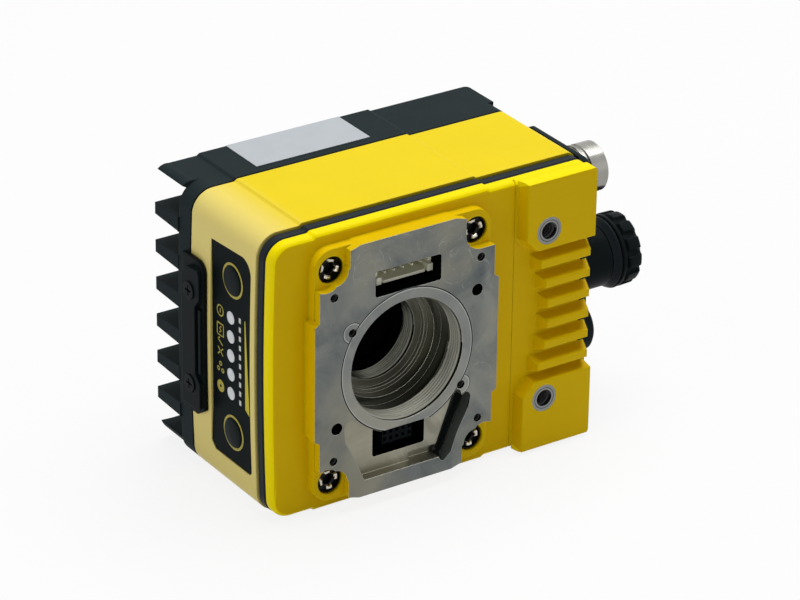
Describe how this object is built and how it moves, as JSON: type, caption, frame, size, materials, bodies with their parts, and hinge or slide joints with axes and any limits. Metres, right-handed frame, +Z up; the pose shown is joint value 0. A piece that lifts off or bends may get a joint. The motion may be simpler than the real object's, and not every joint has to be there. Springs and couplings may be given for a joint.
{
  "type": "machine vision camera",
  "caption": "Boxed machine vision camera without its lens: lens thread in a machined face, finned rear housing, control keys and status lights, card door, round connectors and a screw cap.",
  "frame": {"origin": "centre of the lens bore in the machined front face", "axes": "+X towards the connectors, +Y to the finned back, +Z up; the lens looks along -Y"},
  "size_m": [0.1331, 0.0643, 0.0844],
  "materials": {
    "yellow_paint": "fine-grained satin paint; the lens face is machined bare metal",
    "black_coating": "fine-grained matt coating",
    "seal_rubber": "matt",
    "nickel": "plated, fine turning marks",
    "steel": "plain",
    "black_steel": "blackened",
    "black_plastic": "fine moulded grain",
    "black_film": "smooth satin",
    "white_plastic": "moulded",
    "white_label": "satin film",
    "light_lens": "milky",
    "circuit_board": "dark solder mask",
    "gold": "plated",
    "sensor_glass": "filter glass",
    "sensor_ceramic": "dark",
    "thermal_rubber": "soft pad"
  },
  "bodies": {
    "camera": {"front_housing": "yellow_paint", "mounting_inserts": "nickel", "captive_screws": "steel", "front_seal": "seal_rubber", "wrap_cover": "yellow_paint", "rear_seal": "seal_rubber", "rear_housing": "black_coating", "rating_label": "white_label", "control_overlay": "black_film", "status_lights": "light_lens", "ui_board": "circuit_board", "card_door": "black_plastic", "card_door_gasket": "seal_rubber", "card_door_screws": "black_steel", "card_socket": "nickel", "card_door_nuts": "nickel", "memory_card": "black_film", "connector_panel": "black_coating", "panel_gasket": "seal_rubber", "io_connector_shell": "nickel", "io_connector_insert": "black_film", "network_connector_shell": "black_plastic", "network_connector_insert": "black_film", "light_connector_shell": "black_coating", "light_connector_insert": "black_film", "connector_nuts": "nickel", "connector_board": "circuit_board", "interface_board": "circuit_board", "lens_drive_header": "white_plastic", "lens_drive_pins": "gold", "expansion_header": "black_film", "sensor_window": "sensor_glass", "image_sensor": "sensor_ceramic", "sensor_board": "circuit_board", "sensor_board_screws": "steel", "processor_board": "circuit_board", "power_board": "circuit_board", "board_spacers": "nickel", "board_screws": "steel", "thermal_pad": "thermal_rubber"},
    "trigger_key": {"trigger_button": "black_plastic"},
    "tune_key": {"tune_button": "black_plastic"},
    "cap_seal": {"cap_gasket": "seal_rubber"},
    "cap": {"protective_cap": "black_plastic"}
  },
  "joints": [
    {"name": "trigger_press", "type": "slide", "parent": "camera", "child": "trigger_key", "axis": [1, 0, 0], "range_m": [0, 0.0004], "stiffness_N_per_m": 900, "springref_m": -0.0004},
    {"name": "tune_press", "type": "slide", "parent": "camera", "child": "tune_key", "axis": [1, 0, 0], "range_m": [0, 0.0004], "stiffness_N_per_m": 900, "springref_m": -0.0004},
    {"name": "cap_travel", "type": "slide", "parent": "camera", "child": "cap_seal", "axis": [1, 0, 0], "range_m": [0, 0.004]},
    {"name": "cap_turn", "type": "hinge", "parent": "cap_seal", "child": "cap", "pos_m": [0.08, 0.025, 0.0004], "axis": [1, 0, 0], "range_deg": [0, 1440]}
  ],
  "couplings": [
    {"joint": "cap_turn", "follows": "cap_travel", "rad_per_m": 6283.2}
  ]
}
